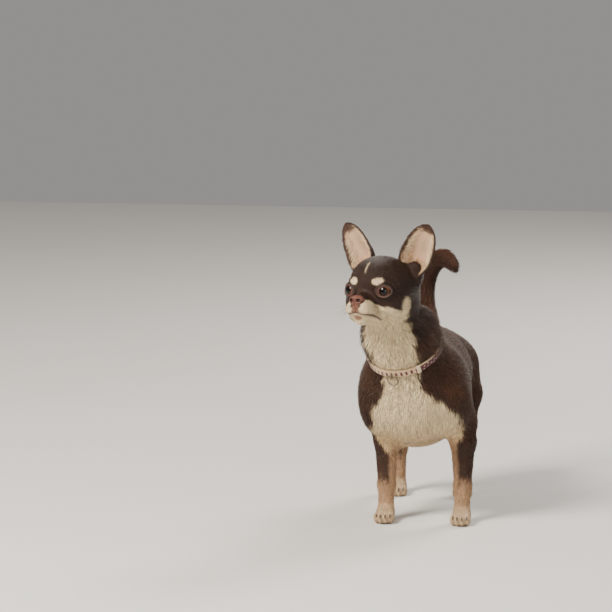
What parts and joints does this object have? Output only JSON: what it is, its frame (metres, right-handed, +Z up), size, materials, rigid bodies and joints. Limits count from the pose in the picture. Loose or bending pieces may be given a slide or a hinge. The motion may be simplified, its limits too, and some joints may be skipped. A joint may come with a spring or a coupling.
{
  "type": "standing chihuahua",
  "caption": "Life-size still model of a standing smooth-coated chihuahua, head turned, tail raised in a sickle, wearing a narrow woven collar.",
  "frame": {"origin": "on the floor, under the middle of the dog's bounding box", "axes": "+X to the dog's left, -Y the way its body faces, +Z up"},
  "size_m": [0.1402, 0.3108, 0.3246],
  "materials": {
    "coat": "short glossy fur, chocolate brown with cream markings",
    "paw_coat": "very short cream and tan fur",
    "eye": "wet, clear surface over a dark brown iris",
    "ear_skin": "thin skin with fine hair",
    "nose_skin": "moist, finely pebbled bare skin",
    "claw_horn": "smooth dark horn",
    "collar_weave": "flat woven band in cream and maroon",
    "keeper_weave": "woven cream loop",
    "ring_steel": "thin bright wire"
  },
  "bodies": {
    "root": {"belly": "coat", "chest": "coat", "claw_fore_left_1": "claw_horn", "claw_fore_left_2": "claw_horn", "claw_fore_left_3": "claw_horn", "claw_fore_left_4": "claw_horn", "claw_fore_right_1": "claw_horn", "claw_fore_right_2": "claw_horn", "claw_fore_right_3": "claw_horn", "claw_fore_right_4": "claw_horn", "claw_hind_left_1": "claw_horn", "claw_hind_left_2": "claw_horn", "claw_hind_left_3": "claw_horn", "claw_hind_left_4": "claw_horn", "claw_hind_right_1": "claw_horn", "claw_hind_right_2": "claw_horn", "claw_hind_right_3": "claw_horn", "claw_hind_right_4": "claw_horn", "collar_band": "collar_weave", "collar_keeper": "keeper_weave", "collar_ring": "ring_steel", "collar_staple": "ring_steel", "ear_left": "ear_skin", "ear_right": "ear_skin", "eye_left": "eye", "eye_right": "eye", "forearm_left": "coat", "forearm_right": "coat", "forepaw_left": "paw_coat", "forepaw_right": "paw_coat", "head": "coat", "hindpaw_left": "paw_coat", "hindpaw_right": "paw_coat", "neck": "coat", "nose": "nose_skin", "rump": "coat", "shank_left": "coat", "shank_right": "coat", "tail_base": "coat", "tail_middle": "coat", "tail_tip": "coat", "thigh_left": "coat", "thigh_right": "coat", "upper_foreleg_left": "coat", "upper_foreleg_right": "coat"}
  },
  "joints": []
}
